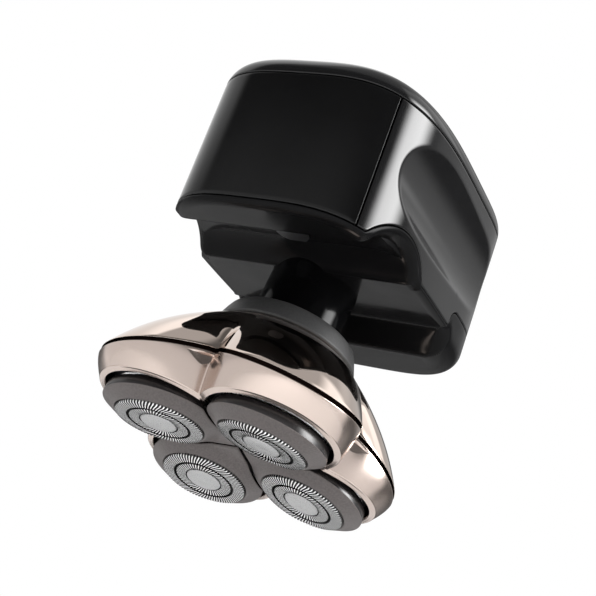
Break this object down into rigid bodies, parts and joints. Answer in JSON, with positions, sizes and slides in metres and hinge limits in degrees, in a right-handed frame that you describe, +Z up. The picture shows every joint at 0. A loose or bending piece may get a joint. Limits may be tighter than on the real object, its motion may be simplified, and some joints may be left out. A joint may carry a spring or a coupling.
{
  "type": "head shaver",
  "caption": "Palm-held rotary head shaver: pitched black handle with a finger arch, a short neck, a gold hair chamber and floating round cutting heads.",
  "frame": {"origin": "bottom centre of the object's box, on the surface that the rims of the shaving discs stand on", "axes": "+Z up along the neck and head axis, -Y towards the front panel, +X to the right seen from the front"},
  "size_m": [0.0614, 0.0799, 0.0926],
  "materials": {
    "gloss_black": "high gloss",
    "panel_black": "high gloss",
    "cap_black": "high gloss",
    "housing_black": "gloss",
    "neck_black": "gloss",
    "rubber_black": "matte",
    "steel_plate": "satin",
    "steel_screw": "polished",
    "motor_steel": "satin",
    "steel_shaft": "ground",
    "circuit_board": "solder mask",
    "switch_plastic": "matte",
    "button_black": "satin",
    "spring_steel": "drawn wire",
    "battery_wrap": "shrink wrap",
    "inner_plastic": "matte",
    "socket_plastic": "matte",
    "collar_rubber": "matte",
    "gold_plated": "plated, mirror",
    "gold_satin": "plated, satin",
    "gear_plastic": "moulded",
    "holder_plastic": "fine matte",
    "comb_steel": "polished, slotted",
    "cap_steel": "radially brushed",
    "cutter_steel": "ground"
  },
  "bodies": {
    "handle": {"main_shell": "gloss_black", "front_panel": "panel_black", "top_cap": "cap_black", "lower_housing": "housing_black", "neck_tube": "neck_black", "neck_seal": "rubber_black", "shaft_seal": "rubber_black", "motor_mount": "steel_plate", "mount_screws": "steel_screw", "drive_motor": "motor_steel", "control_board": "circuit_board", "switch_board": "circuit_board", "tact_switch": "switch_plastic", "button_spring": "spring_steel", "battery_cell": "battery_wrap", "battery_cradle": "inner_plastic", "charging_socket": "socket_plastic", "housing_screws": "steel_screw"},
    "drive_shaft": {"motor_shaft": "steel_shaft"},
    "button": {"power_button": "button_black"},
    "head": {"rubber_collar": "collar_rubber", "hair_chamber": "gold_plated", "drive_housing": "inner_plastic", "latch_ring": "spring_steel", "gear_cover": "gear_plastic", "gear_plate": "gear_plastic"},
    "gear": {"central_gear": "gear_plastic"},
    "frame": {"blade_frame": "gold_satin", "retaining_plate": "inner_plastic", "holder_spring_1": "spring_steel", "holder_spring_2": "spring_steel", "holder_spring_3": "spring_steel", "holder_spring_4": "spring_steel"},
    "pinion_1": {"pinion_1": "gear_plastic"},
    "float_1": {"cutter_holder_1": "holder_plastic", "shaving_comb_1": "comb_steel", "comb_cap_1": "cap_steel"},
    "cutter_1": {"rotary_cutter_1": "cutter_steel"},
    "pinion_2": {"pinion_2": "gear_plastic"},
    "float_2": {"cutter_holder_2": "holder_plastic", "shaving_comb_2": "comb_steel", "comb_cap_2": "cap_steel"},
    "cutter_2": {"rotary_cutter_2": "cutter_steel"},
    "pinion_3": {"pinion_3": "gear_plastic"},
    "float_3": {"cutter_holder_3": "holder_plastic", "shaving_comb_3": "comb_steel", "comb_cap_3": "cap_steel"},
    "cutter_3": {"rotary_cutter_3": "cutter_steel"},
    "pinion_4": {"pinion_4": "gear_plastic"},
    "float_4": {"cutter_holder_4": "holder_plastic", "shaving_comb_4": "comb_steel", "comb_cap_4": "cap_steel"},
    "cutter_4": {"rotary_cutter_4": "cutter_steel"}
  },
  "joints": [
    {"name": "drive_shaft_spin", "type": "hinge", "parent": "handle", "child": "drive_shaft", "pos_m": [0, 0.00266, 0.051], "axis": [0, 0, 1], "continuous": true},
    {"name": "button_press", "type": "slide", "parent": "handle", "child": "button", "axis": [0, -0.153, 0.9882], "range_m": [0, 0.0006], "stiffness_N_per_m": 1500, "springref_m": -0.0004, "deforming": ["button_spring"]},
    {"name": "head_release", "type": "slide", "parent": "handle", "child": "head", "axis": [0, 0, -1], "range_m": [0, 0.01]},
    {"name": "gear_spin", "type": "hinge", "parent": "head", "child": "gear", "pos_m": [0, 0.00266, 0.014], "axis": [0, 0, 1], "continuous": true},
    {"name": "frame_release", "type": "slide", "parent": "head", "child": "frame", "axis": [0, 0, -1], "range_m": [0, 0.008]},
    {"name": "pinion_1_spin", "type": "hinge", "parent": "head", "child": "pinion_1", "pos_m": [-0.01304, -0.01038, 0.014], "axis": [0, 0, 1], "continuous": true},
    {"name": "head_1_float", "type": "slide", "parent": "frame", "child": "float_1", "axis": [-0.0739, -0.0739, 0.9945], "range_m": [0, 0.0012], "stiffness_N_per_m": 700, "springref_m": -0.0012, "deforming": ["holder_spring_1"]},
    {"name": "cutter_1_spin", "type": "hinge", "parent": "float_1", "child": "cutter_1", "pos_m": [-0.0128, -0.01014, 0.001], "axis": [-0.0739, -0.0739, 0.9945], "continuous": true},
    {"name": "pinion_2_spin", "type": "hinge", "parent": "head", "child": "pinion_2", "pos_m": [0.01304, -0.01038, 0.014], "axis": [0, 0, 1], "continuous": true},
    {"name": "head_2_float", "type": "slide", "parent": "frame", "child": "float_2", "axis": [0.0739, -0.0739, 0.9945], "range_m": [0, 0.0012], "stiffness_N_per_m": 700, "springref_m": -0.0012, "deforming": ["holder_spring_2"]},
    {"name": "cutter_2_spin", "type": "hinge", "parent": "float_2", "child": "cutter_2", "pos_m": [0.0128, -0.01014, 0.001], "axis": [0.0739, -0.0739, 0.9945], "continuous": true},
    {"name": "pinion_3_spin", "type": "hinge", "parent": "head", "child": "pinion_3", "pos_m": [-0.01304, 0.01571, 0.014], "axis": [0, 0, 1], "continuous": true},
    {"name": "head_3_float", "type": "slide", "parent": "frame", "child": "float_3", "axis": [-0.0739, 0.0739, 0.9945], "range_m": [0, 0.0012], "stiffness_N_per_m": 700, "springref_m": -0.0012, "deforming": ["holder_spring_3"]},
    {"name": "cutter_3_spin", "type": "hinge", "parent": "float_3", "child": "cutter_3", "pos_m": [-0.0128, 0.01546, 0.001], "axis": [-0.0739, 0.0739, 0.9945], "continuous": true},
    {"name": "pinion_4_spin", "type": "hinge", "parent": "head", "child": "pinion_4", "pos_m": [0.01304, 0.01571, 0.014], "axis": [0, 0, 1], "continuous": true},
    {"name": "head_4_float", "type": "slide", "parent": "frame", "child": "float_4", "axis": [0.0739, 0.0739, 0.9945], "range_m": [0, 0.0012], "stiffness_N_per_m": 700, "springref_m": -0.0012, "deforming": ["holder_spring_4"]},
    {"name": "cutter_4_spin", "type": "hinge", "parent": "float_4", "child": "cutter_4", "pos_m": [0.0128, 0.01546, 0.001], "axis": [0.0739, 0.0739, 0.9945], "continuous": true}
  ],
  "couplings": [
    {"joint": "gear_spin", "follows": "drive_shaft_spin", "ratio": 1},
    {"joint": "pinion_1_spin", "follows": "drive_shaft_spin", "ratio": -1.2},
    {"joint": "cutter_1_spin", "follows": "drive_shaft_spin", "ratio": -1.2},
    {"joint": "pinion_2_spin", "follows": "drive_shaft_spin", "ratio": -1.2},
    {"joint": "cutter_2_spin", "follows": "drive_shaft_spin", "ratio": -1.2},
    {"joint": "pinion_3_spin", "follows": "drive_shaft_spin", "ratio": -1.2},
    {"joint": "cutter_3_spin", "follows": "drive_shaft_spin", "ratio": -1.2},
    {"joint": "pinion_4_spin", "follows": "drive_shaft_spin", "ratio": -1.2},
    {"joint": "cutter_4_spin", "follows": "drive_shaft_spin", "ratio": -1.2}
  ]
}
